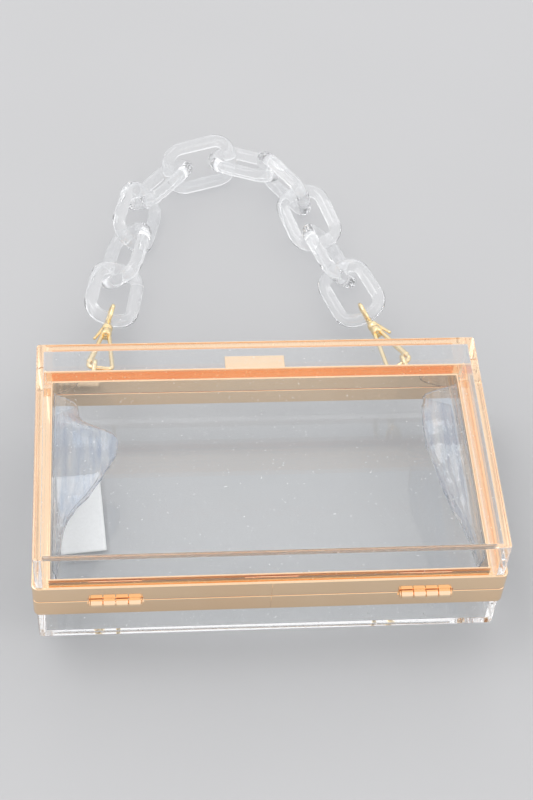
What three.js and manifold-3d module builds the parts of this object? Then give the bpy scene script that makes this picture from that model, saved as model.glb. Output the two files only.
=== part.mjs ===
// Clear acrylic box clutch with a gold hinged frame, film gussets and a chain of clear links.
// Millimetres, +Z up. The closed box lies on its back: the origin is the middle of its underside,
// the hinge side faces -Y and the clasp side, with the chain, faces +Y.
import * as THREE from 'three';
import { mergeVertices } from 'three/addons/utils/BufferGeometryUtils.js';
import { ParametricGeometry } from 'three/addons/geometries/ParametricGeometry.js';
import Module from 'manifold-3d';

const wasm = await Module();
wasm.setup();

// Driving dimensions of the box
const WIDTH = 200;
const DEPTH = 117;
const HEIGHT = 60;
const WALL = 3.2;
const PLATE = 3.0;
const EDGE_RADIUS = 1.0;
const CORNER_RADIUS = 1.5;
const CORNER_MIN = 0.3;
const RIM_BEVEL = 0.25;
const GAP = 0.3;

// Channel that caps the open edge of each tray
const FLANGE_HEIGHT = 9.7;
const INNER_FLANGE_HEIGHT = 8.7;
const FLANGE = 1.1;
const INNER_FLANGE = 0.9;
const SLOT = 2.4;
const WEB = 1.0;
const RIM_RADIUS = 0.45;

// Barrel hinges on the front of the frame
const HINGE_MIDDLE = 66.3;
const KNUCKLE_COUNT = 4;
const KNUCKLE_PITCH = 5.4;
const KNUCKLE_RADIUS = 2.0;
const PIN_RADIUS = 0.8;
const PIN_HEAD = 0.6;
const HINGE_STANDOFF = 1.0;

// Clasp tab in the middle of the far side
const TAB_WIDTH = 28;
const TAB_REACH = 8.6;
const TAB_THICKNESS = 1.5;
const TAB_BACK_HEIGHT = 8.2;
const TAB_LIFT = 5.6;

// Lugs, swivel hooks and the chain
const LUG_X = 76;
const LUG_SEAT_Z = 25;
const LUG_SLIDE = 2.5;
const HOOK_POINT_Z = 30.3;
const LUG_WIRE = 1.1;
const LUG_HOLE_LENGTH = 8.4;
const LUG_HOLE_WIDTH = 8.4;
const LUG_POST_RADIUS = 1.4;
const LUG_FOOT_RADIUS = 2.6;
const LUG_FOOT_THICKNESS = 1.0;
const HOOK_REACH = 53;
const HOOK_WIRE = 1.25;
const HOOK_LOOP_LENGTH = 30;
const HOOK_LOOP_WIDTH = 14.4;
const HOOK_CORNER = 2.5;
const HOOK_NECK = 1.6;
const HOOK_NECK_CORNER = 1.2;
const COLLAR_RADIUS = 2.7;
const COLLAR_LENGTH = 10;
const EYE_WIRE = 1.0;
const EYE_STEM_RADIUS = 1.3;
const EYE_HOLE_LENGTH = 9.2;
const EYE_HOLE_WIDTH = 10.4;
const LINK_LENGTH = 41.4;
const LINK_WIDTH = 28;
const LINK_WIRE = 3.3;
const LINK_CORNER = 8.5;
const PLAY = 0.4;
const HOOK_PLAY = 0.8;
const END_LIFT = 5;

// Film gussets and the blank label
const FILM = 0.8;
const FILM_SEAM_LOW = 21.5;
const FILM_SEAM_HIGH = 38.5;
const FOLD_SHARPNESS = 1.6;
const SLOPE_STEP = 0.01;
const LABEL_LENGTH = 43;
const LABEL_WIDTH = 20.5;
const LABEL_THICKNESS = 0.5;
const LABEL_X = -82;
const LABEL_Y = 3.5;
const LABEL_TURN = 4;

// Facets of the round pieces and of the film
const CORNER_STEPS = 3;
const BARREL_SIDES = 14;
const ROD_SIDES = 10;
const COLLAR_SIDES = 12;
const LINK_SIDES = 10;
const HOOK_SIDES = 8;
const RING_SIDES = 6;
const ARC_STEPS = 5;
const HOOK_ARC_STEPS = 4;
const FILM_STEPS_ACROSS = 12;
const FILM_STEPS_ALONG = 14;

// Each link's heading in plan (0 along +X, 90 along +Y), its roll, left side up when positive,
// and how far it is pushed into the next link. The last two headings follow from closing the
// chain on the right hook.
const LINKS = [
  { heading: 80.5, roll: 17, slack: 0 },
  { heading: 75.4, roll: -39.8, slack: 0 },
  { heading: 76.1, roll: 47.9, slack: 0.1 },
  { heading: 49, roll: -37.6, slack: 0 },
  { heading: 18, roll: 58.6, slack: 0.3 },
  { heading: -22.7, roll: -20, slack: 0.95 },
  { heading: -56, roll: 102, slack: 0 },
  { heading: -73.2, roll: 8, slack: 0.05 },
  { heading: null, roll: -47, slack: 0 },
  { heading: null, roll: 20.6, slack: 0 },
];

// Where the middle of each hook's end bar is in plan, how the hook leans from there, and its roll
const ENDS = [
  { name: 'left', side: -1, hookX: -72, hookY: 70.2, lean: 5.4, roll: 4 },
  { name: 'right', side: 1, hookX: 69, hookY: 68.7, lean: -11.7, roll: -21 },
];

// Depth of each film's inward fold, along the box from the hinge side to the clasp side
const FILM_FOLDS = {
  left: [
    { y: -47, depth: 1.2 },
    { y: -35, depth: 3 },
    { y: -17, depth: 6.5 },
    { y: -5, depth: 15 },
    { y: 10, depth: 24 },
    { y: 21, depth: 28.5 },
    { y: 28, depth: 26 },
    { y: 34, depth: 14 },
    { y: 46, depth: 10 },
  ],
  right: [
    { y: -47, depth: 1.2 },
    { y: -36, depth: 3.5 },
    { y: -17, depth: 9 },
    { y: -5, depth: 12 },
    { y: 8, depth: 15 },
    { y: 20, depth: 16 },
    { y: 38, depth: 16 },
    { y: 47, depth: 14 },
  ],
};

const ACRYLIC = { color: 0xeef2f4, roughness: 0.05, metalness: 0 };
const GOLD = { color: 0xe9c09a, roughness: 0.15, metalness: 1 };
const HOOK_GOLD = { color: 0xead29a, roughness: 0.2, metalness: 1 };
const CLEAR_FILM = { color: 0xdfe5ea, roughness: 0.15, metalness: 0 };
const PAPER = { color: 0xf4f3f0, roughness: 0.8, metalness: 0 };

// Helpers that turn a surface into one closed solid
function welded(geometry) {
  geometry.deleteAttribute('normal');
  geometry.deleteAttribute('uv');
  const merged = mergeVertices(geometry, 1e-4);
  const corners = merged.index.array;
  const kept = [];
  for (let i = 0; i < corners.length; i += 3) {
    const [a, b, c] = corners.slice(i, i + 3);
    if (a !== b && b !== c && c !== a) kept.push(a, b, c);
  }
  merged.setIndex(kept);
  return merged;
}

function solid(geometry) {
  const closed = welded(geometry);
  return new wasm.Manifold(new wasm.Mesh({
    numProp: 3,
    vertProperties: new Float32Array(closed.attributes.position.array),
    triVerts: new Uint32Array(closed.index.array),
  }));
}

function geometryOf(body) {
  const mesh = body.getMesh();
  const geometry = new THREE.BufferGeometry();
  geometry.setAttribute('position', new THREE.BufferAttribute(new Float32Array(mesh.vertProperties), 3));
  geometry.setIndex(new THREE.BufferAttribute(new Uint32Array(mesh.triVerts), 1));
  return geometry;
}

function piece(name, geometry, finish) {
  const mesh = new THREE.Mesh(geometry, new THREE.MeshStandardMaterial(finish));
  mesh.name = name;
  return mesh;
}

// Rounded rectangle in plan, at an offset from the tray's outer face
const PLAN_STEPS = 4 * (CORNER_STEPS + 1);

function planPoint(index, offset) {
  const corner = Math.floor(index / (CORNER_STEPS + 1)) % 4;
  const step = index % (CORNER_STEPS + 1);
  const angle = (Math.PI / 2) * (corner + step / CORNER_STEPS);
  const radius = Math.max(CORNER_RADIUS + offset, CORNER_MIN);
  const signX = corner === 0 || corner === 3 ? 1 : -1;
  const signY = corner < 2 ? 1 : -1;
  const centreX = signX * (WIDTH / 2 + offset - radius);
  const centreY = signY * (DEPTH / 2 + offset - radius);
  return [centreX + radius * Math.cos(angle), centreY + radius * Math.sin(angle)];
}

// Carries a profile of { offset, z } rows round the box; a row marked centre closes a flat end
function aroundBox(profile) {
  const rows = profile.length - 1;
  const place = (u, v, target) => {
    const row = profile[Math.round(v * rows)];
    const [x, y] = planPoint(Math.round(u * PLAN_STEPS) % PLAN_STEPS, row.offset ?? 0);
    if (row.centre) target.set(0, 0, row.z);
    else target.set(x, y, row.z);
  };
  return welded(new ParametricGeometry(place, PLAN_STEPS, rows));
}

// Tray of the base half: floor, four walls and an open rim
function trayGeometry() {
  const rim = HEIGHT / 2 - GAP / 2 - WEB - GAP;
  const soft = EDGE_RADIUS * (1 - Math.SQRT1_2);
  return aroundBox([
    { centre: true, z: 0 },
    { offset: -EDGE_RADIUS, z: 0 },
    { offset: -soft, z: soft },
    { offset: 0, z: EDGE_RADIUS },
    { offset: 0, z: rim - RIM_BEVEL },
    { offset: -RIM_BEVEL, z: rim },
    { offset: RIM_BEVEL - WALL, z: rim },
    { offset: -WALL, z: rim - RIM_BEVEL },
    { offset: -WALL, z: PLATE },
    { centre: true, z: PLATE },
  ]);
}

// Channel of the base half: outer flange, web over the rim and inner flange
function channelGeometry() {
  const top = HEIGHT / 2 - GAP / 2;
  const outer = GAP + FLANGE;
  const slot = -WALL - SLOT;
  const inner = slot - INNER_FLANGE;
  const soft = RIM_RADIUS * (1 - Math.SQRT1_2);
  const low = top - FLANGE_HEIGHT;
  const innerLow = top - INNER_FLANGE_HEIGHT;
  const profile = [
    { offset: GAP, z: low },
    { offset: outer - RIM_RADIUS, z: low },
    { offset: outer - soft, z: low + soft },
    { offset: outer, z: low + RIM_RADIUS },
    { offset: outer, z: top - RIM_RADIUS },
    { offset: outer - soft, z: top - soft },
    { offset: outer - RIM_RADIUS, z: top },
    { offset: inner + RIM_RADIUS, z: top },
    { offset: inner, z: top - RIM_RADIUS },
    { offset: inner, z: innerLow },
    { offset: slot, z: innerLow },
    { offset: slot, z: top - WEB },
    { offset: GAP, z: top - WEB },
  ];
  return aroundBox([...profile, profile[0]]);
}

// Cylinder along X about the hinge axis
const HINGE_Y = -(DEPTH / 2 + GAP + FLANGE + HINGE_STANDOFF);
const HINGE_Z = HEIGHT / 2;

function hingeRod(fromX, toX, radius, sides = BARREL_SIDES) {
  const rod = new THREE.CylinderGeometry(radius, radius, toX - fromX, sides);
  rod.rotateZ(Math.PI / 2);
  rod.translate((fromX + toX) / 2, HINGE_Y, HINGE_Z);
  return solid(rod);
}

function knuckleStart(side, index) {
  return side * HINGE_MIDDLE + (index - KNUCKLE_COUNT / 2) * KNUCKLE_PITCH;
}

// A frame keeps every second knuckle of both hinges and makes room for the others
function frameWithKnuckles(channel, firstOwn) {
  let frame = solid(channel);
  for (const side of [-1, 1]) {
    for (let index = 0; index < KNUCKLE_COUNT; index += 1) {
      const start = knuckleStart(side, index);
      const end = start + KNUCKLE_PITCH;
      if (index % 2 === firstOwn) {
        frame = frame.add(hingeRod(start + GAP / 2, end - GAP / 2, KNUCKLE_RADIUS));
      } else {
        frame = frame.subtract(hingeRod(start - GAP / 2, end + GAP / 2, KNUCKLE_RADIUS + GAP));
      }
    }
    const first = knuckleStart(side, 0);
    const last = knuckleStart(side, KNUCKLE_COUNT);
    const headRoom = PIN_HEAD + 2 * GAP;
    frame = frame.subtract(hingeRod(first - headRoom, first + GAP / 2, KNUCKLE_RADIUS + GAP));
    frame = frame.subtract(hingeRod(last - GAP / 2, last + headRoom, KNUCKLE_RADIUS + GAP));
    frame = frame.subtract(hingeRod(first - headRoom, last + headRoom, PIN_RADIUS + GAP, ROD_SIDES));
  }
  return geometryOf(frame);
}

function pinGeometry(side) {
  const first = knuckleStart(side, 0) - GAP / 2;
  const last = knuckleStart(side, KNUCKLE_COUNT) + GAP / 2;
  const shaft = hingeRod(first - PIN_HEAD, last + PIN_HEAD, PIN_RADIUS, ROD_SIDES);
  const heads = [
    hingeRod(first - PIN_HEAD, first, KNUCKLE_RADIUS),
    hingeRod(last, last + PIN_HEAD, KNUCKLE_RADIUS),
  ];
  return geometryOf(shaft.add(heads[0]).add(heads[1]));
}

// Turns the base half's shape over to make the lid half
function turnedOver(geometry) {
  geometry.rotateX(Math.PI);
  geometry.translate(0, 0, HEIGHT);
  return geometry;
}

// Angled plate on the lid's far flange, pressed with a thumb to open the box
function tabGeometry() {
  const foot = GAP;
  const outline = new THREE.Shape();
  outline.moveTo(foot, 0);
  outline.lineTo(foot + TAB_THICKNESS, 0);
  outline.lineTo(foot + TAB_THICKNESS, TAB_LIFT);
  outline.lineTo(TAB_REACH, TAB_LIFT);
  outline.lineTo(TAB_REACH, TAB_LIFT + TAB_THICKNESS);
  outline.lineTo(foot + TAB_THICKNESS, TAB_LIFT + TAB_THICKNESS);
  outline.lineTo(foot + TAB_THICKNESS, TAB_BACK_HEIGHT);
  outline.lineTo(foot, TAB_BACK_HEIGHT);
  const tab = new THREE.ExtrudeGeometry(outline, { depth: TAB_WIDTH, bevelEnabled: false });
  tab.rotateX(Math.PI / 2);
  tab.rotateZ(Math.PI / 2);
  tab.translate(-TAB_WIDTH / 2, DEPTH / 2 + GAP + FLANGE, HEIGHT / 2 + GAP + RIM_RADIUS);
  return welded(tab);
}

// Closed flat outline with rounded corners, as points in the local XY plane
function roundedOutline(corners, arcSteps) {
  const points = [];
  corners.forEach((corner, i) => {
    const here = new THREE.Vector2(corner.x, corner.y);
    const before = corners[(i + corners.length - 1) % corners.length];
    const after = corners[(i + 1) % corners.length];
    const back = new THREE.Vector2(before.x, before.y).sub(here).normalize();
    const ahead = new THREE.Vector2(after.x, after.y).sub(here).normalize();
    const half = Math.acos(back.dot(ahead)) / 2;
    const inward = back.clone().add(ahead).normalize();
    const centre = inward.multiplyScalar(corner.radius / Math.sin(half)).add(here);
    const start = back.clone().multiplyScalar(corner.radius / Math.tan(half)).add(here).sub(centre);
    const sweep = Math.PI - 2 * half;
    for (let step = 0; step <= arcSteps; step += 1) {
      const spoke = start.clone().rotateAround(new THREE.Vector2(), (sweep * step) / arcSteps);
      points.push(spoke.add(centre));
    }
  });
  return points;
}

// Round wire along a closed flat outline
function wireLoop(points, radius, sides) {
  const count = points.length;
  const place = (u, v, target) => {
    const i = Math.round(u * count) % count;
    const here = points[i];
    const tangent = points[(i + 1) % count].clone().sub(points[(i + count - 1) % count]).normalize();
    const angle = 2 * Math.PI * (Math.round(v * sides) % sides) / sides;
    const outward = radius * Math.cos(angle);
    target.set(here.x + tangent.y * outward, here.y - tangent.x * outward, radius * Math.sin(angle));
  };
  return welded(new ParametricGeometry(place, count, sides));
}

// Straight rod between two places on the local X axis
function axisRod(fromX, toX, radius, sides) {
  const rod = new THREE.CylinderGeometry(radius, radius, toX - fromX, sides);
  rod.rotateZ(Math.PI / 2);
  rod.translate((fromX + toX) / 2, 0, 0);
  return rod;
}

// Rounded rectangle whose long way is local X, from one end bar's middle line to the other
function barOutline(fromX, toX, width, radius) {
  return roundedOutline([
    { x: toX, y: width / 2, radius },
    { x: fromX, y: width / 2, radius },
    { x: fromX, y: -width / 2, radius },
    { x: toX, y: -width / 2, radius },
  ], ARC_STEPS);
}

function linkGeometry() {
  const reach = LINK_LENGTH / 2 - LINK_WIRE;
  const outline = barOutline(-reach, reach, LINK_WIDTH - 2 * LINK_WIRE, LINK_CORNER);
  return wireLoop(outline, LINK_WIRE, LINK_SIDES);
}

const RING_FLAT = 0.1;

// Round ring of wire from one place on the local X axis to another
function ring(fromX, toX, width, wire) {
  return wireLoop(barOutline(fromX, toX, width, (width - RING_FLAT) / 2), wire, RING_SIDES);
}

// Eye on a post with a round foot flat against the frame, square to the wire that hangs in it
function lugGeometry(point, out, wire) {
  const tip = LUG_WIRE + HOOK_PLAY;
  const near = tip - LUG_HOLE_LENGTH - 2 * LUG_WIRE;
  const width = LUG_HOLE_WIDTH + 2 * LUG_WIRE;
  const eye = ring(near, tip, width, LUG_WIRE);
  const post = axisRod(-out.length(), near, LUG_POST_RADIUS, ROD_SIDES);
  const foot = new THREE.CylinderGeometry(LUG_FOOT_RADIUS, LUG_FOOT_RADIUS, LUG_FOOT_THICKNESS, BARREL_SIDES);
  foot.translate(point.x - out.x, point.y - out.y + LUG_FOOT_THICKNESS / 2, point.z - out.z);
  const placing = squareMatrix(point, out, wire);
  const stalk = solid(eye.applyMatrix4(placing)).add(solid(post.applyMatrix4(placing)));
  const behindFoot = new THREE.BoxGeometry(4 * LUG_FOOT_RADIUS, 4 * LUG_FOOT_RADIUS, 4 * LUG_FOOT_RADIUS);
  behindFoot.translate(point.x - out.x, point.y - out.y - 2 * LUG_FOOT_RADIUS, point.z - out.z);
  return geometryOf(stalk.subtract(solid(behindFoot)).add(solid(foot)));
}

const COLLAR_FROM = HOOK_LOOP_LENGTH - 1;

// Drop-shaped loop with a turned collar; local X runs from the lug to the chain
function hookGeometry() {
  const low = -(HOOK_WIRE + HOOK_PLAY);
  const half = HOOK_LOOP_WIDTH / 2 - HOOK_WIRE;
  const outline = roundedOutline([
    { x: HOOK_LOOP_LENGTH, y: HOOK_NECK, radius: HOOK_NECK_CORNER },
    { x: low, y: half, radius: HOOK_CORNER },
    { x: low, y: -half, radius: HOOK_CORNER },
    { x: HOOK_LOOP_LENGTH, y: -HOOK_NECK, radius: HOOK_NECK_CORNER },
  ], HOOK_ARC_STEPS);
  const loop = solid(wireLoop(outline, HOOK_WIRE, HOOK_SIDES));
  const collar = axisRod(COLLAR_FROM, COLLAR_FROM + COLLAR_LENGTH, COLLAR_RADIUS, COLLAR_SIDES);
  return geometryOf(loop.add(solid(collar)));
}

// Swivel eye through the end link, with a stem that turns in the hook's collar
function eyeGeometry() {
  const far = HOOK_REACH + EYE_WIRE + HOOK_PLAY;
  const near = far - EYE_HOLE_LENGTH - 2 * EYE_WIRE;
  const width = EYE_HOLE_WIDTH + 2 * EYE_WIRE;
  const loop = solid(ring(near, far, width, EYE_WIRE));
  const stem = solid(axisRod(COLLAR_FROM + COLLAR_LENGTH + GAP, near, EYE_STEM_RADIUS, ROD_SIDES));
  return geometryOf(loop.add(stem));
}

// Turns local X along a direction, with local Y to its left raised by the roll
function axisMatrix(origin, direction, roll) {
  const axis = direction.clone().normalize();
  const left = new THREE.Vector3(-axis.y, axis.x, 0).normalize();
  const above = axis.clone().cross(left);
  const angle = THREE.MathUtils.degToRad(roll);
  const across = left.multiplyScalar(Math.cos(angle)).addScaledVector(above, Math.sin(angle));
  const normal = axis.clone().cross(across);
  return new THREE.Matrix4().makeBasis(axis, across, normal).setPosition(origin);
}

// Turns local X along a direction, with local Z along the wire that the piece holds
function squareMatrix(origin, direction, wire) {
  const axis = direction.clone().normalize();
  const normal = wire.clone().addScaledVector(axis, -wire.dot(axis)).normalize();
  return new THREE.Matrix4().makeBasis(axis, normal.clone().cross(axis), normal).setPosition(origin);
}

// Direction of a placed piece's local Y axis
function acrossOf(placing) {
  return new THREE.Vector3().setFromMatrixColumn(placing, 1);
}

function placed(mesh, placing) {
  const holder = new THREE.Group();
  placing.decompose(holder.position, holder.quaternion, holder.scale);
  holder.add(mesh);
  return holder;
}

// Height of a link's middle line when its lower side rests on the table
function restHeight(link) {
  const half = LINK_WIDTH / 2 - LINK_WIRE;
  return LINK_WIRE + half * Math.abs(Math.sin(THREE.MathUtils.degToRad(link.roll)));
}

function hookPoint(end) {
  return new THREE.Vector3(end.hookX, end.hookY, HOOK_POINT_Z);
}

// Where a hook's eye holds its end link
function chainEnd(end, link) {
  const point = hookPoint(end);
  const drop = restHeight(link) + END_LIFT - point.z;
  const level = Math.sqrt(HOOK_REACH ** 2 - drop ** 2);
  const lean = THREE.MathUtils.degToRad(end.lean);
  return point.add(new THREE.Vector3(level * Math.sin(lean), level * Math.cos(lean), drop));
}

// Distance between the two places where a link holds its neighbours
function linkSpan(i) {
  return LINK_LENGTH - 4 * LINK_WIRE - 2 * PLAY - slackBefore(i) - LINKS[i].slack;
}

function slackBefore(i) {
  return i > 0 ? LINKS[i - 1].slack : 0;
}

// Points where each link holds the next, walked from the left hook and closed on the right one
function chainPoints() {
  const points = [chainEnd(ENDS[0], LINKS[0])];
  const last = chainEnd(ENDS[1], LINKS[LINKS.length - 1]);
  for (let i = 0; i < LINKS.length - 2; i += 1) {
    const from = points[i];
    const z = Math.max(restHeight(LINKS[i]), restHeight(LINKS[i + 1]));
    const level = Math.sqrt(linkSpan(i) ** 2 - (z - from.z) ** 2);
    const heading = THREE.MathUtils.degToRad(LINKS[i].heading);
    points.push(new THREE.Vector3(
      from.x + level * Math.cos(heading), from.y + level * Math.sin(heading), z));
  }
  const from = points[points.length - 1];
  const final = LINKS.length - 1;
  const z = Math.max(restHeight(LINKS[final - 1]), restHeight(LINKS[final]));
  const first = Math.sqrt(linkSpan(final - 1) ** 2 - (z - from.z) ** 2);
  const second = Math.sqrt(linkSpan(final) ** 2 - (z - last.z) ** 2);
  const span = new THREE.Vector2(last.x - from.x, last.y - from.y);
  const length = span.length();
  const along = (first ** 2 - second ** 2 + length ** 2) / (2 * length);
  const aside = Math.sqrt(Math.max(first ** 2 - along ** 2, 0));
  span.normalize();
  points.push(new THREE.Vector3(
    from.x + span.x * along - span.y * aside, from.y + span.y * along + span.x * aside, z));
  points.push(last);
  return points;
}

function linkMatrix(points, i) {
  const direction = points[i + 1].clone().sub(points[i]).normalize();
  const middle = points[i].clone().add(points[i + 1]).multiplyScalar(0.5);
  middle.addScaledVector(direction, (LINKS[i].slack - slackBefore(i)) / 2);
  return axisMatrix(middle, direction, LINKS[i].roll);
}

function chain() {
  const group = new THREE.Group();
  const points = chainPoints();
  LINKS.forEach((link, i) => {
    const name = `chain_link_${String(i + 1).padStart(2, '0')}`;
    group.add(placed(piece(name, linkGeometry(), ACRYLIC), linkMatrix(points, i)));
  });
  return group;
}

// Lug, hook and eye of one end, from the frame out to the chain; the lug has slid along the hook's end bar
function endFittings(end, linkIndex) {
  const group = new THREE.Group();
  const point = hookPoint(end);
  const toChain = chainEnd(end, LINKS[linkIndex]).sub(point);
  const hookPlace = axisMatrix(point, toChain, end.roll);
  const endBar = acrossOf(hookPlace);
  const seat = new THREE.Vector3(end.side * LUG_X, DEPTH / 2 + GAP + FLANGE + GAP, LUG_SEAT_Z);
  const lugPoint = point.clone().addScaledVector(endBar, -end.side * LUG_SLIDE);
  const out = lugPoint.clone().sub(seat);
  group.add(piece(`lug_${end.name}`, lugGeometry(lugPoint, out, endBar), HOOK_GOLD));
  group.add(placed(piece(`hook_${end.name}`, hookGeometry(), HOOK_GOLD), hookPlace));
  const linkBar = acrossOf(linkMatrix(chainPoints(), linkIndex));
  const eyePlace = squareMatrix(point, toChain, linkBar);
  group.add(placed(piece(`hook_eye_${end.name}`, eyeGeometry(), HOOK_GOLD), eyePlace));
  return group;
}

// Depth of a film's fold at a place along the box
function foldDepth(rows, y) {
  const next = Math.max(1, rows.findIndex((row) => row.y >= y));
  const a = rows[next - 1];
  const b = rows[next];
  return THREE.MathUtils.mapLinear(y, a.y, b.y, a.depth, b.depth);
}

// Film between the two halves at one side of the box, folded inwards
function filmGeometry(side, rows) {
  const across = FILM_STEPS_ACROSS;
  const along = FILM_STEPS_ALONG;
  const seamX = WIDTH / 2 - WALL - SLOT - INNER_FLANGE - GAP - FILM / 2;
  const first = rows[0].y;
  const last = rows[rows.length - 1].y;
  const middle = (s, y) => {
    const fold = Math.sin(Math.PI * s) ** FOLD_SHARPNESS;
    const z = THREE.MathUtils.lerp(FILM_SEAM_LOW, FILM_SEAM_HIGH, s);
    return new THREE.Vector2(seamX - foldDepth(rows, y) * fold, z);
  };
  const place = (u, v, target) => {
    const around = Math.round(u * 2 * across) % (2 * across);
    const s = (around <= across ? around : 2 * across - around) / across;
    const face = around === 0 || around === across ? 0 : around < across ? 1 : -1;
    const step = Math.round(v * along);
    const y = THREE.MathUtils.lerp(first, last, step / along);
    const here = middle(s, y);
    const ahead = middle(Math.min(s + SLOPE_STEP, 1), y);
    const slope = ahead.sub(middle(Math.max(s - SLOPE_STEP, 0), y)).normalize();
    const thick = step === 0 || step === along ? 0 : face * FILM / 2;
    const x = here.x + slope.y * thick;
    target.set(side * x, y, here.y - slope.x * thick);
  };
  const sheet = new ParametricGeometry(place, 2 * across, along);
  const closed = welded(sheet);
  if (side > 0) {
    const flipped = Array.from(closed.index.array);
    for (let i = 0; i < flipped.length; i += 3) {
      [flipped[i], flipped[i + 1]] = [flipped[i + 1], flipped[i]];
    }
    closed.setIndex(flipped);
  }
  return closed;
}

// Blank label lying on the floor of the base tray
function label() {
  const outline = new THREE.Shape();
  outline.moveTo(-LABEL_WIDTH / 2, -LABEL_LENGTH / 2);
  outline.lineTo(LABEL_WIDTH / 2, -LABEL_LENGTH / 2);
  outline.lineTo(LABEL_WIDTH / 2, LABEL_LENGTH / 2);
  outline.lineTo(-LABEL_WIDTH / 2, LABEL_LENGTH / 2);
  const card = new THREE.ExtrudeGeometry(outline, { depth: LABEL_THICKNESS, bevelEnabled: false });
  const mesh = piece('label', welded(card), PAPER);
  mesh.position.set(LABEL_X, LABEL_Y, PLATE + GAP);
  mesh.rotation.z = THREE.MathUtils.degToRad(LABEL_TURN);
  return mesh;
}

function clutch() {
  const group = new THREE.Group();
  group.add(piece('base_tray', trayGeometry(), ACRYLIC));
  group.add(piece('lid_tray', turnedOver(trayGeometry()), ACRYLIC));
  group.add(piece('base_frame', frameWithKnuckles(channelGeometry(), 0), GOLD));
  group.add(piece('lid_frame', frameWithKnuckles(turnedOver(channelGeometry()), 1), GOLD));
  group.add(piece('hinge_pin_left', pinGeometry(-1), GOLD));
  group.add(piece('hinge_pin_right', pinGeometry(1), GOLD));
  group.add(piece('clasp_tab', tabGeometry(), GOLD));
  group.add(endFittings(ENDS[0], 0));
  group.add(endFittings(ENDS[1], LINKS.length - 1));
  group.add(chain());
  group.add(piece('gusset_left', filmGeometry(-1, FILM_FOLDS.left), CLEAR_FILM));
  group.add(piece('gusset_right', filmGeometry(1, FILM_FOLDS.right), CLEAR_FILM));
  group.add(label());
  return group;
}

export default clutch();
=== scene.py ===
"""Dresses the acrylic box clutch: clear shells, gold channels, film gussets and a strap of clear links."""
import math

import bmesh
import bpy
import numpy as np
from mathutils import Matrix, Vector, noise


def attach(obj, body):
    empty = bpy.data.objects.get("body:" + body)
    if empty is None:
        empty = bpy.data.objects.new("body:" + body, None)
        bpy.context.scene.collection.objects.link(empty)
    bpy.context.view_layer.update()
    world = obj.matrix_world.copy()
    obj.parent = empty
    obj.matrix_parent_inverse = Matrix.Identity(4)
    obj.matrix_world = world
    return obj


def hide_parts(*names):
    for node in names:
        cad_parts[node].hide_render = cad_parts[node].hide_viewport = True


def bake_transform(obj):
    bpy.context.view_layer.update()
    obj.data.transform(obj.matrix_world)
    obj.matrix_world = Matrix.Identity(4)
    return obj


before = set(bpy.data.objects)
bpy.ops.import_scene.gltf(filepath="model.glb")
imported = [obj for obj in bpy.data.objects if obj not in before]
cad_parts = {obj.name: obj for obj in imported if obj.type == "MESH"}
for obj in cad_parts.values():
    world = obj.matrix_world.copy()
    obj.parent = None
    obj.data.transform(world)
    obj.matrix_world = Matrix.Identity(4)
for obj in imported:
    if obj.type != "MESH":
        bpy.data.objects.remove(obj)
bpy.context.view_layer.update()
MM = 0.001

# Sizes shared with the solids, in millimetres
WIDTH, DEPTH, HEIGHT = 200.0, 117.0, 60.0
WALL, PLATE = 3.2, 3.0
EDGE_RADIUS, CORNER_RADIUS, SMALL_RADIUS = 1.0, 1.5, 0.25
GAP = 0.3
FLANGE_HEIGHT, INNER_FLANGE_HEIGHT = 9.7, 8.7
FLANGE, INNER_FLANGE, WEB, SLOT = 1.1, 0.9, 1.0, 2.4
RIM_RADIUS = 0.4
SPLIT_Z = HEIGHT / 2
CHANNEL_TOP = SPLIT_Z - GAP / 2
CHANNEL_FACE = DEPTH / 2 + GAP + FLANGE
HINGE_MIDDLE, KNUCKLE_COUNT, KNUCKLE_PITCH = 66.3, 4, 5.4
KNUCKLE_RADIUS, PIN_HEAD, HINGE_STANDOFF = 2.0, 0.6, 1.0
HINGE_Y = -(CHANNEL_FACE + HINGE_STANDOFF)
TAB_WIDTH, TAB_REACH, TAB_THICKNESS, TAB_BACK, TAB_LIFT = 28.0, 8.6, 1.5, 8.2, 5.6
LUG_X, LUG_SEAT_Z, LUG_SLIDE, HOOK_POINT_Z = 76.0, 25.0, 2.5, 30.3
LUG_WIRE, LUG_HOLE_LENGTH, LUG_HOLE_WIDTH = 1.1, 8.4, 8.4
LUG_POST_RADIUS, LUG_FOOT_RADIUS, LUG_FOOT_THICKNESS = 1.4, 2.6, 1.0
HOOK_REACH, HOOK_WIRE, HOOK_LOOP_LENGTH, HOOK_LOOP_WIDTH = 53.0, 1.1, 30.0, 14.2
HOOK_CORNER, HOOK_NECK, HOOK_NECK_CORNER, HOOK_BACK = 2.5, 1.6, 1.2, 2.05
COLLAR_RADIUS, COLLAR_LENGTH, COLLAR_OVERLAP = 2.7, 10.0, 1.0
EYE_WIRE, EYE_STEM_RADIUS, EYE_HOLE_LENGTH, EYE_HOLE_WIDTH = 1.0, 1.3, 9.2, 10.4
LINK_COUNT, LINK_LENGTH, LINK_WIDTH, LINK_WIRE, LINK_CORNER = 10, 41.4, 28.0, 3.3, 8.5
HOOK_PLAY, END_LIFT = 0.8, 5.0
FILM_SEAM_LOW, FILM_SEAM_HIGH, FILM_THICKNESS = 21.5, 38.5, 0.25
LABEL_SIZE, LABEL_PLACE, LABEL_TURN = (20.5, 43.0), (-82.0, 3.5), 4.0

# Plan place of the middle of each hook's end bar, its lean and roll, and the end link with its roll
ENDS = (
    {"name": "left", "side": -1, "x": -72.0, "y": 70.2, "lean": 5.4, "roll": 4,
     "link": "chain_link_01", "link_roll": 17},
    {"name": "right", "side": 1, "x": 69.0, "y": 68.7, "lean": -11.7, "roll": -21,
     "link": "chain_link_10", "link_roll": 20.6},
)

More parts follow.
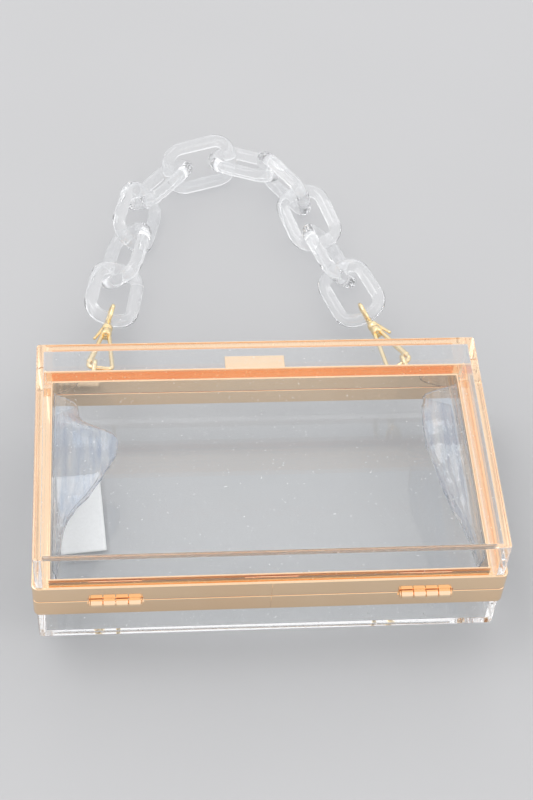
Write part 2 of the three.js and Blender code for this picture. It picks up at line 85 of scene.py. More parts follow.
# Depth of each film's inward fold along the box, from the hinge side to the clasp side
FILM_FOLDS = {
    "left": ((-47, 1.2), (-35, 3), (-17, 6.5), (-5, 15), (10, 24), (21, 28.5), (28, 26), (34, 14), (46, 10)),
    "right": ((-47, 1.2), (-36, 3.5), (-17, 9), (-5, 12), (8, 15), (20, 16), (38, 16), (47, 14)),
}

# Eased edges and small clearances, in millimetres
PLATE_INSET = 30.0
LEAST_CORNER, LIP_RADIUS, SLOT_RADIUS = 0.3, 0.1, 0.2
ROOM_EASE, KNUCKLE_EASE, KNUCKLE_PLAY = 0.01, 0.25, 0.02
PIN_RADIUS = 0.8
TAB_EASE, TAB_FOLD_EASE, TAB_TOP_EASE, TAB_CLEAR = 0.35, 0.5, 0.3, 0.05
SAME_LEVEL, SAME_POINT = 0.01, 1e-4
RING_EASE = 0.05
ROD_CORE = 0.2

# Details that only the scene shows, in millimetres
SEAM_WIDTH, SEAM_DEPTH, SEAM_OVER, SEAM_REACH = 0.16, 0.35, 1.0, 12.0
LEAF_HALF, LEAF_EDGE, LEAF_DROP, LEAF_EASE = 11.4, 0.45, 7.0, 0.1
SLEEVE_START, SLEEVE_LENGTH, SLEEVE_RADIUS, SLEEVE_EASE = 4.5, 16.0, 1.5, 0.4
LEVER_TIP, LEVER_ROOT, LEVER_RADIUS, LEVER_EASE = (25.0, 5.2), (36.5, 2.2), 0.8, 0.5

# Turned outlines, as rows of place along the axis and radius
PIN_DOME = ((-PIN_HEAD, 0.2), (-PIN_HEAD, 0.9), (-0.75 * PIN_HEAD, 1.5), (-0.4 * PIN_HEAD, 1.85),
            (0, KNUCKLE_RADIUS))
COLLAR_BEADS = ((0, 1.5), (0.2, 2.3), (0.8, COLLAR_RADIUS), (3.6, COLLAR_RADIUS), (4.1, 2.5), (4.4, 2.2),
                (5.6, 2.1), (6.2, 2.25), (6.6, 2.55), (7.2, COLLAR_RADIUS), (8.6, COLLAR_RADIUS), (9.4, 2.3),
                (COLLAR_LENGTH, 1.4))
STEM_HEAD = ((0, 0.4), (0, 1.6), (0.5, 1.75), (0.9, EYE_STEM_RADIUS))
STEM_FOOT = ((-0.9, EYE_STEM_RADIUS), (0, 1.5), (0.6, 0.5))
POST_INSET = 1.3
POST_HEAD = ((0, 0.5), (0, 1.7), (0.8, LUG_POST_RADIUS))
POST_FOOT = ((-0.6, LUG_POST_RADIUS), (0.4, 1.2), (0.6, 0.4))
LUG_DOME = ((0, 0.3), (0, LUG_FOOT_RADIUS), (0.5, LUG_FOOT_RADIUS), (0.8, 2.35), (LUG_FOOT_THICKNESS, 1.9),
            (1.25, 0.5))

# Fineness of the meshes: facets round a piece, steps in a corner, and spacing along a wire in millimetres
HINGE_SIDES, COLLAR_SIDES, STEM_SIDES, SLEEVE_SIDES = 40, 32, 24, 20
LEVER_SIDES, LEAF_SIDES, WIRE_SIDES, LINK_SIDES = 16, 12, 16, 36
PLAN_CORNER_STEPS, SHELL_CORNER_STEPS, HOOK_CORNER_STEPS = 8, 6, 10
EYE_CORNER_STEPS, LUG_CORNER_STEPS, LINK_CORNER_STEPS = 16, 14, 14
RING_SPACING, WIRE_SPACING = 1.0, 1.2
FILM_ACROSS, FILM_ALONG = 56, 120
SLIP_ACROSS, SLIP_ALONG = 12, 28

# Camera as fitted to the photograph, with the image taken as 533 by 800
EYE = Vector((-59.87, -459.03, 660.54)) * MM
ELEVATION, HEADING, ROLL = 51.0, 7.29, 4.50
FOCAL_PIXELS, IMAGE_HEIGHT, SENSOR = 1742.8, 800, 36.0

# Soft boxes by name, place, size and power, and the sky's two tones
STAGE_MIDDLE = (0, 0.08, 0.02)
SOFT_BOXES = (
    ("key", (-0.9, 0.5, 1.6), (1.2, 0.9), 7),
    ("fill", (1.2, -0.5, 1.2), (0.9, 0.9), 3),
    ("back", (0.2, 1.6, 0.9), (1.6, 0.5), 2),
)
SKY_TONES, SKY_RISE, SKY_STRENGTH = ((0.93, 0.94, 0.96), (1.0, 1.0, 1.01)), (0.0, 0.6), 1.06
FLOOR_REACH, FLOOR_DROP = 6.0, 0.0002
BOUNCES, OPEN_BOUNCES = 200, 64


# Shader building

def new_material(name):
    material = bpy.data.materials.new(name)
    material.use_nodes = True
    material.node_tree.nodes.clear()
    return material, material.node_tree.nodes, material.node_tree.links


def shader_with_output(nodes, links):
    shader = nodes.new("ShaderNodeBsdfPrincipled")
    output = nodes.new("ShaderNodeOutputMaterial")
    links.new(shader.outputs["BSDF"], output.inputs["Surface"])
    return shader, output


def noise_value(nodes, links, scale, detail=3.0, stretch=(1, 1, 1)):
    """Noise in object space, in features per metre, optionally drawn out along an axis."""
    place = nodes.new("ShaderNodeTexCoord")
    mapping = nodes.new("ShaderNodeMapping")
    mapping.inputs["Scale"].default_value = stretch
    texture = nodes.new("ShaderNodeTexNoise")
    texture.inputs["Scale"].default_value = scale
    texture.inputs["Detail"].default_value = detail
    links.new(place.outputs["Object"], mapping.inputs["Vector"])
    links.new(mapping.outputs["Vector"], texture.inputs["Vector"])
    return texture.outputs["Fac"]


def ranged(nodes, links, value, low, high, start=0.3, stop=0.7):
    """Maps a noise value from start..stop onto low..high."""
    mapped = nodes.new("ShaderNodeMapRange")
    mapped.inputs["From Min"].default_value = start
    mapped.inputs["From Max"].default_value = stop
    mapped.inputs["To Min"].default_value = low
    mapped.inputs["To Max"].default_value = high
    links.new(value, mapped.inputs["Value"])
    return mapped.outputs["Result"]


def two_tone(nodes, links, value, first, second, start=0.35, stop=0.65):
    ramp = nodes.new("ShaderNodeValToRGB")
    ramp.color_ramp.elements[0].position = start
    ramp.color_ramp.elements[1].position = stop
    ramp.color_ramp.elements[0].color = (*first, 1)
    ramp.color_ramp.elements[1].color = (*second, 1)
    links.new(value, ramp.inputs["Fac"])
    return ramp.outputs["Color"]


def bumped(nodes, links, shader, value, strength, distance):
    bump = nodes.new("ShaderNodeBump")
    bump.inputs["Strength"].default_value = strength
    bump.inputs["Distance"].default_value = distance
    links.new(value, bump.inputs["Height"])
    links.new(bump.outputs["Normal"], shader.inputs["Normal"])


def lamps_pass(nodes, links, shader, output, tint):
    """Lets lamps and soft light shine through a clear surface instead of casting a solid shadow."""
    path = nodes.new("ShaderNodeLightPath")
    either = nodes.new("ShaderNodeMath")
    either.operation = "MAXIMUM"
    links.new(path.outputs["Is Shadow Ray"], either.inputs[0])
    links.new(path.outputs["Is Diffuse Ray"], either.inputs[1])
    clear = nodes.new("ShaderNodeBsdfTransparent")
    clear.inputs["Color"].default_value = (*tint, 1)
    mix = nodes.new("ShaderNodeMixShader")
    links.new(either.outputs["Value"], mix.inputs["Fac"])
    links.new(shader.outputs["BSDF"], mix.inputs[1])
    links.new(clear.outputs["BSDF"], mix.inputs[2])
    links.new(mix.outputs["Shader"], output.inputs["Surface"])


ACRYLIC_IOR = 1.49
HAZE_NOISE, HAZE_RANGE = {"scale": 140.0, "detail": 6.0}, (0.5, 0.75)
DUST_NOISE, DUST_RANGE, DUST_ROUGHNESS = {"scale": 800.0, "detail": 1.0}, (0.74, 0.8), 0.5
TINT_DETAIL, RIPPLE_DETAIL = 3.0, 2.0


def worn_roughness(nodes, links, haze_roughness):
    """Handling haze with a few dust specks, as a roughness."""
    haze = noise_value(nodes, links, **HAZE_NOISE)
    dust = noise_value(nodes, links, **DUST_NOISE)
    worn = nodes.new("ShaderNodeMath")
    worn.operation = "ADD"
    links.new(ranged(nodes, links, haze, *haze_roughness, *HAZE_RANGE), worn.inputs[0])
    links.new(ranged(nodes, links, dust, 0.0, DUST_ROUGHNESS, *DUST_RANGE), worn.inputs[1])
    return worn.outputs["Value"]


def clear_material(name, tones, clarity, shade, wave, haze=(0.0, 0.03), cloud=25.0, stretch=(1, 1, 1)):
    """Clear plastic: faint tint, haze and dust in its roughness, and a slight waviness."""
    material, nodes, links = new_material(name)
    shader, output = shader_with_output(nodes, links)
    shader.inputs["IOR"].default_value = ACRYLIC_IOR
    shader.inputs["Transmission Weight"].default_value = clarity
    tint = noise_value(nodes, links, cloud, TINT_DETAIL, stretch)
    links.new(two_tone(nodes, links, tint, *tones), shader.inputs["Base Color"])
    links.new(worn_roughness(nodes, links, haze), shader.inputs["Roughness"])
    ripple = noise_value(nodes, links, wave["scale"], RIPPLE_DETAIL, stretch)
    bumped(nodes, links, shader, ripple, wave["strength"], wave["distance"])
    lamps_pass(nodes, links, shader, output, shade)
    return material


DRIFT_SCALE, MARK_SCALE, MARK_DETAIL = 18.0, 900.0, 5.0
GOLD_RIPPLE_SCALE, GOLD_RIPPLE_HEIGHT = 120.0, 0.0003


def gold_material(name, tones, roughness, ripple_strength, grain=(1, 1, 1)):
    """Polished plating: slow colour drift, fine marks in the roughness and a shallow ripple."""
    material, nodes, links = new_material(name)
    shader, _ = shader_with_output(nodes, links)
    shader.inputs["Metallic"].default_value = 1.0
    drift = noise_value(nodes, links, DRIFT_SCALE)
    links.new(two_tone(nodes, links, drift, *tones), shader.inputs["Base Color"])
    marks = noise_value(nodes, links, MARK_SCALE, MARK_DETAIL, grain)
    links.new(ranged(nodes, links, marks, *roughness), shader.inputs["Roughness"])
    ripple = noise_value(nodes, links, GOLD_RIPPLE_SCALE, RIPPLE_DETAIL, grain)
    bumped(nodes, links, shader, ripple, ripple_strength, GOLD_RIPPLE_HEIGHT)
    return material


def dull_material(name, tones, roughness, grain, relief=None, clarity=None):
    """Dull surface whose colour, roughness and relief follow one noise; clarity makes it frosted plastic."""
    material, nodes, links = new_material(name)
    shader, _ = shader_with_output(nodes, links)
    if clarity:
        shader.inputs["IOR"].default_value = ACRYLIC_IOR
        shader.inputs["Transmission Weight"].default_value = clarity
    marks = noise_value(nodes, links, **grain)
    links.new(two_tone(nodes, links, marks, *tones), shader.inputs["Base Color"])
    links.new(ranged(nodes, links, marks, *roughness), shader.inputs["Roughness"])
    if relief:
        bumped(nodes, links, shader, marks, *relief)
    return material


SHELL = clear_material(
    "clear_acrylic", tones=((0.985, 0.99, 0.992), (0.994, 0.997, 0.998)), clarity=1.0,
    shade=(0.975, 0.98, 0.983), wave={"scale": 14.0, "strength": 0.02, "distance": 0.0005})
LINKS_CLEAR = clear_material(
    "clear_links", tones=((0.965, 0.97, 0.974), (0.99, 0.992, 0.994)), clarity=0.92,
    shade=(0.94, 0.944, 0.95), wave={"scale": 160.0, "strength": 0.015, "distance": 0.0003})
FILM = clear_material(
    "clear_film", tones=((0.74, 0.80, 0.89), (0.985, 0.99, 0.995)), clarity=0.95,
    shade=(0.965, 0.97, 0.98), wave={"scale": 420.0, "strength": 0.35, "distance": 0.0004},
    haze=(0.02, 0.1), cloud=520.0, stretch=(1, 0.05, 1))
SAWN = dull_material(
    "sawn_acrylic", tones=((0.86, 0.88, 0.89), (0.95, 0.96, 0.96)), roughness=(0.55, 0.8),
    grain={"scale": 1500.0, "detail": 4.0, "stretch": (1, 0.2, 1)}, relief=(0.1, 0.0001), clarity=0.55)
FRAME_GOLD = gold_material(
    "frame_gold", tones=((0.97, 0.69, 0.445), (0.985, 0.73, 0.49)), roughness=(0.07, 0.10),
    ripple_strength=0.005)
HOOK_GOLD = gold_material(
    "hook_gold", tones=((0.89, 0.68, 0.37), (0.95, 0.78, 0.49)), roughness=(0.08, 0.18),
    ripple_strength=0.02, grain=(1, 0.3, 1))
PAPER = dull_material(
    "label_paper", tones=((0.92, 0.92, 0.91), (0.97, 0.97, 0.96)), roughness=(0.65, 0.85),
    grain={"scale": 900.0, "detail": 8.0}, relief=(0.15, 0.0001))
FLOOR = dull_material(
    "pale_floor", tones=((0.475, 0.475, 0.48), (0.50, 0.50, 0.505)), roughness=(0.55, 0.65),
    grain={"scale": 3.0})


# Mesh building

def finish_piece(name, mesh, material, body=None, node=None, weighted=True):
    """Makes a smooth-shaded piece, on a body and in place of a node where they are given."""
    mesh.materials.append(material)
    for polygon in mesh.polygons:
        polygon.use_smooth = True
    piece = bpy.data.objects.new(name, mesh)
    bpy.context.scene.collection.objects.link(piece)
    if weighted:
        normals = piece.modifiers.new("even_normals", "WEIGHTED_NORMAL")
        normals.keep_sharp = True
    if body:
        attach(piece, body)
    if node:
        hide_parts(node)
    return piece


def band_faces(rings, size, closed):
    """Faces between rings of size points that follow each other."""
    faces = []
    for row in range(rings if closed else rings - 1):
        here, there = row * size, (row + 1) % rings * size
        for k in range(size):
            n = (k + 1) % size
            faces.append((here + k, here + n, there + n, there + k))
    return faces


def end_faces(rings, size):
    """Faces that fill the first and the last ring."""
    last = (rings - 1) * size
    return [tuple(range(size)), tuple(range(last, last + size))]


def mesh_from(name, points, faces):
    """Closed mesh in metres from points in millimetres, with its faces turned outwards."""
    mesh = bpy.data.meshes.new(name)
    mesh.from_pydata([Vector(p) * MM for p in points], [], faces)
    shape = bmesh.new()
    shape.from_mesh(mesh)
    bmesh.ops.remove_doubles(shape, verts=shape.verts, dist=SAME_POINT * MM)
    bmesh.ops.recalc_face_normals(shape, faces=shape.faces)
    shape.to_mesh(mesh)
    shape.free()
    return mesh


def mesh_joined(name, meshes):
    """One mesh from meshes that stand apart."""
    shape = bmesh.new()
    for mesh in meshes:
        shape.from_mesh(mesh)
    joined = bpy.data.meshes.new(name)
    shape.to_mesh(joined)
    shape.free()
    return joined


def mesh_cut(mesh, other, operation):
    """Boolean of two meshes, as a new mesh."""
    held = [bpy.data.objects.new("boolean_part", m) for m in (mesh, other)]
    for piece in held:
        bpy.context.scene.collection.objects.link(piece)
    boolean = held[0].modifiers.new("boolean", "BOOLEAN")
    boolean.operation = operation
    boolean.solver = "EXACT"
    boolean.object = held[1]
    bpy.context.view_layer.update()
    result = bpy.data.meshes.new_from_object(held[0].evaluated_get(bpy.context.evaluated_depsgraph_get()))
    for piece in held:
        bpy.data.objects.remove(piece)
    return result


def mesh_united(meshes):
    """One closed mesh from closed meshes that run into each other."""
    united = meshes[0]
    for mesh in meshes[1:]:
        united = mesh_cut(united, mesh, "UNION")
    return united


def rounded(corners, closed, steps=4):
    """Polyline with its corners, given as (a, b, radius) rows, turned into arcs."""
    points = []
    count = len(corners)
    for i, (a, b, radius) in enumerate(corners):
        here = Vector((a, b))
        if radius <= 0 or (not closed and i in (0, count - 1)):
            points.append(here)
            continue
        back = (Vector(corners[i - 1][:2]) - here).normalized()
        ahead = (Vector(corners[(i + 1) % count][:2]) - here).normalized()
        half = back.angle(ahead) / 2
        middle = here + (back + ahead).normalized() * radius / math.sin(half)
        start = here + back * radius / math.tan(half) - middle
        sweep = (math.pi - 2 * half) * (-1 if back.cross(ahead) > 0 else 1)
        for step in range(steps + 1):
            turn = Matrix.Rotation(sweep * step / steps, 2)
            points.append(middle + turn @ start)
    return points


def plan_ring(offset):
    """Rounded rectangle in plan, at an offset from the shell's outer face."""
    radius = max(CORNER_RADIUS + offset, LEAST_CORNER)
    ring = []
    for corner in range(4):
        sign_x = 1 if corner in (0, 3) else -1
        sign_y = 1 if corner < 2 else -1
        for step in range(PLAN_CORNER_STEPS + 1):
            angle = math.pi / 2 * (corner + step / PLAN_CORNER_STEPS)
            ring.append((sign_x * (WIDTH / 2 + offset - radius) + radius * math.cos(angle),
                         sign_y * (DEPTH / 2 + offset - radius) + radius * math.sin(angle)))
    return ring


def turned_over(z, over):
    """A height in the base, or the same height in the lid, which lies upside down."""
    return HEIGHT - z if over else z


def around_box(name, profile, closed, over):
    """Carries a profile of (offset, z) points round the box, in the base or over it in the lid."""
    rings = [[(x, y, turned_over(z, over)) for x, y in plan_ring(offset)] for offset, z in profile]
    size = len(rings[0])
    faces = band_faces(len(rings), size, closed)
    if not closed:
        faces += end_faces(len(rings), size)
    return mesh_from(name, [p for ring in rings for p in ring], faces)


def axis_matrix(origin, direction, roll):
    """Turns local X along a direction, with local Y to its left raised by the roll."""
    axis = Vector(direction).normalized()
    left = Vector((-axis.y, axis.x, 0)).normalized()
    above = axis.cross(left)
    across = left * math.cos(math.radians(roll)) + above * math.sin(math.radians(roll))
    turned = Matrix((axis, across, axis.cross(across))).transposed().to_4x4()
    return Matrix.Translation(origin) @ turned


def square_matrix(origin, direction, held):
    """Turns local X along a direction, with local Z along the wire that the piece holds."""
    axis = Vector(direction).normalized()
    normal = (held - axis * held.dot(axis)).normalized()
    turned = Matrix((axis, normal.cross(axis), normal)).transposed().to_4x4()
    return Matrix.Translation(origin) @ turned


def lathe(name, profile, placing, sides):
    """Turned piece about local X from (x, radius) rows, closed at both ends."""
    points = []
    for x, radius in profile:
        for k in range(sides):
            angle = 2 * math.pi * k / sides
            points.append(placing @ Vector((x, radius * math.cos(angle), radius * math.sin(angle))))
    faces = band_faces(len(profile), sides, False) + end_faces(len(profile), sides)
    return mesh_from(name, points, faces)


def shifted(start, rows):
    return [(start + x, radius) for x, radius in rows]


def rod_profile(start, end, radius, ease):
    """Plain rod with eased ends, as rows for the lathe."""
    core = ROD_CORE * radius
    corners = [(start, core, 0), (start, radius, ease), (end, radius, ease), (end, core, 0)]
    return [(p.x, p.y) for p in rounded(corners, closed=False)]


def wire(name, outline, radius, placing, sides):
    """Round wire along a closed flat outline in local XY."""
    count = len(outline)
    points = []
    for i, here in enumerate(outline):
        along = (outline[(i + 1) % count] - outline[i - 1]).normalized()
        for k in range(sides):
            angle = 2 * math.pi * k / sides
            out = radius * math.cos(angle)
            level = radius * math.sin(angle)
            points.append(placing @ Vector((here.x + along.y * out, here.y - along.x * out, level)))
    return mesh_from(name, points, band_faces(count, sides, True))


def evened(outline, step):
    """The same closed outline with points added so that none are further apart than step."""
    points = []
    for i, here in enumerate(outline):
        after = outline[(i + 1) % len(outline)]
        parts = max(1, math.ceil((after - here).length / step))
        points.extend(here.lerp(after, k / parts) for k in range(parts))
    return [p for i, p in enumerate(points) if (p - points[i - 1]).length > SAME_POINT]


def bar_outline(start, end, width, radius, steps, step):
    """Rectangle from start to end along local X, with round corners and even spacing."""
    half = width / 2
    corners = [(end, half, radius), (start, half, radius), (start, -half, radius), (end, -half, radius)]
    return evened(rounded(corners, closed=True, steps=steps), step)


# Shells and channels

def frost_hinge_rim(mesh, rim_z):
    """Gives the sawn rim of the hinge side its frosted material."""
    mesh.materials.append(SAWN)
    for polygon in mesh.polygons:
        at_rim = abs(polygon.center.z - rim_z * MM) < SAME_LEVEL * MM
        on_hinge_side = polygon.center.y < -(DEPTH / 2 - WALL) * MM
        if at_rim and on_hinge_side:
            polygon.material_index = 1


def shell(body, over):
    rim = CHANNEL_TOP - WEB - GAP
    profile = rounded([
        (-PLATE_INSET, 0, 0),
        (0, 0, EDGE_RADIUS),
        (0, rim, SMALL_RADIUS),
        (-WALL, rim, SMALL_RADIUS),
        (-WALL, PLATE, SMALL_RADIUS),
        (-PLATE_INSET, PLATE, 0),
    ], closed=False, steps=SHELL_CORNER_STEPS)
    mesh = around_box(f"{body}_shell", profile, False, over)
    finish_piece(f"{body}_shell", mesh, SHELL, body, f"{body}_tray")
    frost_hinge_rim(mesh, turned_over(rim, over))


def knuckle_place(side, index):
    return side * HINGE_MIDDLE + (index - KNUCKLE_COUNT / 2) * KNUCKLE_PITCH


def hinge_rod(name, start, end, radius, ease):
    placing = Matrix.Translation((0, HINGE_Y, SPLIT_Z))
    return lathe(name, rod_profile(start, end, radius, ease), placing, HINGE_SIDES)


def knuckle_room(side, own):
    """Stretches of the hinge line that a channel has to leave free for the other half."""
    head_room = PIN_HEAD + 2 * GAP
    first = knuckle_place(side, 0)
    last = knuckle_place(side, KNUCKLE_COUNT)
    stretches = []
    for index in range(KNUCKLE_COUNT):
        if index % 2 == own:
            continue
        start = first - head_room if index == 0 else knuckle_place(side, index) - GAP / 2
        end = last + head_room if index == KNUCKLE_COUNT - 1 else knuckle_place(side, index + 1) + GAP / 2
        stretches.append((start, end))
    stretches.append((first - head_room, first + GAP / 2) if own == 0 else (last - GAP / 2, last + head_room))
    return stretches


def block(name, xs, ys, zs):
    points = [(x, y, z) for x in xs for y in ys for z in zs]
    faces = [(0, 1, 3, 2), (4, 6, 7, 5), (0, 4, 5, 1), (2, 3, 7, 6), (0, 2, 6, 4), (1, 5, 7, 3)]
    return mesh_from(name, points, faces)


def seam_cutter():
    """Thin block that leaves the butt seam of the strip in the middle of the hinge side."""
    across = (-SEAM_WIDTH / 2, SEAM_WIDTH / 2)
    inwards = (-CHANNEL_FACE - SEAM_OVER, -CHANNEL_FACE + SEAM_DEPTH)
    upright = (SPLIT_Z - SEAM_REACH, SPLIT_Z + SEAM_REACH)
    return block("seam_cutter", across, inwards, upright)


def leaf_edges(over):
    """Bright edges of the hinge leaves and of the joining sleeve, in the slot on the hinge side."""
    level = turned_over(CHANNEL_TOP - LEAF_DROP, over)
    placing = Matrix.Translation((0, -(DEPTH / 2 - WALL - SLOT), level))
    middles = (-HINGE_MIDDLE, 0.0, HINGE_MIDDLE)
    rows = [rod_profile(x - LEAF_HALF, x + LEAF_HALF, LEAF_EDGE, LEAF_EASE) for x in middles]
    return mesh_joined("leaf_edges", [lathe("leaf_edge", row, placing, LEAF_SIDES) for row in rows])


def channel_strip(name, over):
    """The bent strip round the box, before hinges and seam."""
    outer = GAP + FLANGE
    slot = -WALL - SLOT
    inner = slot - INNER_FLANGE
    low = CHANNEL_TOP - FLANGE_HEIGHT
    inner_low = CHANNEL_TOP - INNER_FLANGE_HEIGHT
    profile = rounded([
        (GAP, low, LIP_RADIUS),
        (outer, low, RIM_RADIUS),
        (outer, CHANNEL_TOP, RIM_RADIUS),
        (inner, CHANNEL_TOP, RIM_RADIUS),
        (inner, inner_low, RIM_RADIUS),
        (slot, inner_low, RIM_RADIUS),
        (slot, CHANNEL_TOP - WEB, SLOT_RADIUS),
        (GAP, CHANNEL_TOP - WEB, SLOT_RADIUS),
    ], closed=True)
    return around_box(name, profile, True, over)


def own_knuckles(side, own):
    """The knuckles of one hinge that belong to a channel: every second one."""
    inset = GAP / 2 + KNUCKLE_PLAY
    rods = []
    for i in range(own, KNUCKLE_COUNT, 2):
        start = knuckle_place(side, i) + inset
        end = knuckle_place(side, i + 1) - inset
        rods.append(hinge_rod("knuckle", start, end, KNUCKLE_RADIUS, KNUCKLE_EASE))
    return mesh_joined("knuckles", rods)


def channel(body, over, own):
    mesh = channel_strip(f"{body}_channel", over)
    for side in (-1, 1):
        room = [hinge_rod("room", a, b, KNUCKLE_RADIUS + GAP, ROOM_EASE) for a, b in knuckle_room(side, own)]
        mesh = mesh_cut(mesh, mesh_joined("room", room), "DIFFERENCE")
    mesh = mesh_cut(mesh, seam_cutter(), "DIFFERENCE")
    mesh = mesh_cut(mesh, leaf_edges(over), "UNION")
    for side in (-1, 1):
        mesh = mesh_cut(mesh, own_knuckles(side, own), "UNION")
    finish_piece(f"{body}_channel", mesh, FRAME_GOLD, body, f"{body}_frame")


def hinge_pin(side, name):
    """Pin whose domed heads close both ends of a hinge."""
    first = knuckle_place(side, 0) - GAP / 2
    last = knuckle_place(side, KNUCKLE_COUNT) + GAP / 2
    profile = shifted(first, PIN_DOME) + [(first, PIN_RADIUS), (last, PIN_RADIUS)]
    profile += [(last - x, radius) for x, radius in reversed(PIN_DOME)]
    mesh = lathe(f"pin_{name}", profile, Matrix.Translation((0, HINGE_Y, SPLIT_Z)), HINGE_SIDES)
    finish_piece(f"pin_{name}", mesh, FRAME_GOLD, "base", f"hinge_pin_{name}", weighted=False)


def tab_outline():
    """Side view of the tab: a strip on the flange with a plate standing out from it."""
    back, front = GAP, GAP + TAB_THICKNESS
    top = TAB_LIFT + TAB_THICKNESS
    return rounded([
        (back, 0, TAB_EASE),
        (front, 0, TAB_EASE),
        (front, TAB_LIFT, TAB_FOLD_EASE),
        (TAB_REACH, TAB_LIFT, TAB_EASE),
        (TAB_REACH, top, TAB_EASE),
        (front, top, TAB_TOP_EASE),
        (front, TAB_BACK, TAB_TOP_EASE),
        (back, TAB_BACK, TAB_TOP_EASE),
    ], closed=True)


def tab():
    """Angled thumb plate with eased edges on the lid's far flange."""
    low_z = SPLIT_Z + GAP + RIM_RADIUS + TAB_CLEAR
    outline = tab_outline()
    half = TAB_WIDTH / 2
    sections = [(-half, TAB_EASE), (-half + TAB_EASE, 0.0), (half - TAB_EASE, 0.0), (half, TAB_EASE)]
    middle = Vector((GAP + TAB_THICKNESS / 2, TAB_LIFT + TAB_THICKNESS / 2))
    points = []
    for x, pinch in sections:
        for p in outline:
            q = p + (middle - p).normalized() * pinch
            points.append((x, CHANNEL_FACE + q.x, low_z + q.y))
    size = len(outline)
    faces = band_faces(len(sections), size, False) + end_faces(len(sections), size)
    mesh = mesh_from("thumb_tab", points, faces)
    finish_piece("thumb_tab", mesh, FRAME_GOLD, "lid", "clasp_tab")


# Hooks, eyes and lugs

def rest_height(roll):
    """Height of a rolled link's middle over the floor that it lies on."""
    return LINK_WIRE + (LINK_WIDTH / 2 - LINK_WIRE) * abs(math.sin(math.radians(roll)))


def hook_axis(end):
    """Middle of the hook's end bar, and the way the hook runs to the strap."""
    point = Vector((end["x"], end["y"], HOOK_POINT_Z))
    drop = rest_height(end["link_roll"]) + END_LIFT - HOOK_POINT_Z
    level = math.sqrt(HOOK_REACH ** 2 - drop ** 2)
    lean = math.radians(end["lean"])
    return point, Vector((level * math.sin(lean), level * math.cos(lean), drop))


HOOK_LOW, HOOK_HALF = -HOOK_BACK, HOOK_LOOP_WIDTH / 2 - HOOK_WIRE


def hook_loop(placing):
    outline = evened(rounded([
        (HOOK_LOOP_LENGTH, HOOK_NECK, HOOK_NECK_CORNER),
        (HOOK_LOW, HOOK_HALF, HOOK_CORNER),
        (HOOK_LOW, -HOOK_HALF, HOOK_CORNER),
        (HOOK_LOOP_LENGTH, -HOOK_NECK, HOOK_NECK_CORNER),
    ], closed=True, steps=HOOK_CORNER_STEPS), WIRE_SPACING)
    return wire("loop", outline, HOOK_WIRE, placing, WIRE_SIDES)


def gate_sleeve(placing, outside):
    """Sleeve of the spring gate, on the loop's outer leg."""
    leg = Vector((HOOK_LOOP_LENGTH - HOOK_LOW, HOOK_NECK - HOOK_HALF)).normalized()
    start = Vector((HOOK_LOW, HOOK_HALF)) + leg * SLEEVE_START
    on_leg = axis_matrix((start.x, outside * start.y, 0), (leg.x, outside * leg.y, 0), 0)
    rows = rod_profile(0.0, SLEEVE_LENGTH, SLEEVE_RADIUS, SLEEVE_EASE)
    return lathe("sleeve", rows, placing @ on_leg, SLEEVE_SIDES)


def thumb_lever(placing, outside):
    """Lever that stands off the collar beside the gate."""
    tip = Vector((LEVER_TIP[0], outside * LEVER_TIP[1], 0))
    root = Vector((LEVER_ROOT[0], outside * LEVER_ROOT[1], 0))
    way = root - tip
    rows = rod_profile(0.0, way.length, LEVER_RADIUS, LEVER_EASE)
    return lathe("lever", rows, placing @ axis_matrix(tip, way, 0), LEVER_SIDES)


def hook(end):
    point, along = hook_axis(end)
    placing = axis_matrix(point, along, end["roll"])
    outside = -end["side"]
    beads = shifted(HOOK_LOOP_LENGTH - COLLAR_OVERLAP, COLLAR_BEADS)
    mesh = mesh_united([
        hook_loop(placing),
        lathe("collar", beads, placing, COLLAR_SIDES),
        gate_sleeve(placing, outside),
        thumb_lever(placing, outside),
    ])
    finish_piece(f"snap_{end['name']}", mesh, HOOK_GOLD, "base", f"hook_{end['name']}")


def eye(end):
    point, along = hook_axis(end)
    _, link_axes = node_axes(end["link"])
    placing = square_matrix(point, along, link_axes[1])
    far = HOOK_REACH + EYE_WIRE + HOOK_PLAY
    near = far - EYE_HOLE_LENGTH - 2 * EYE_WIRE
    width = EYE_HOLE_WIDTH + 2 * EYE_WIRE
    outline = bar_outline(near, far, width, width / 2 - RING_EASE, EYE_CORNER_STEPS, RING_SPACING)
    stem_from = HOOK_LOOP_LENGTH + COLLAR_LENGTH - COLLAR_OVERLAP + GAP
    rows = shifted(stem_from, STEM_HEAD) + shifted(near, STEM_FOOT)
    mesh = mesh_united([
        wire("ring", outline, EYE_WIRE, placing, WIRE_SIDES),
        lathe("stem", rows, placing, STEM_SIDES),
    ])
    finish_piece(f"swivel_{end['name']}", mesh, HOOK_GOLD, "base", f"hook_eye_{end['name']}")


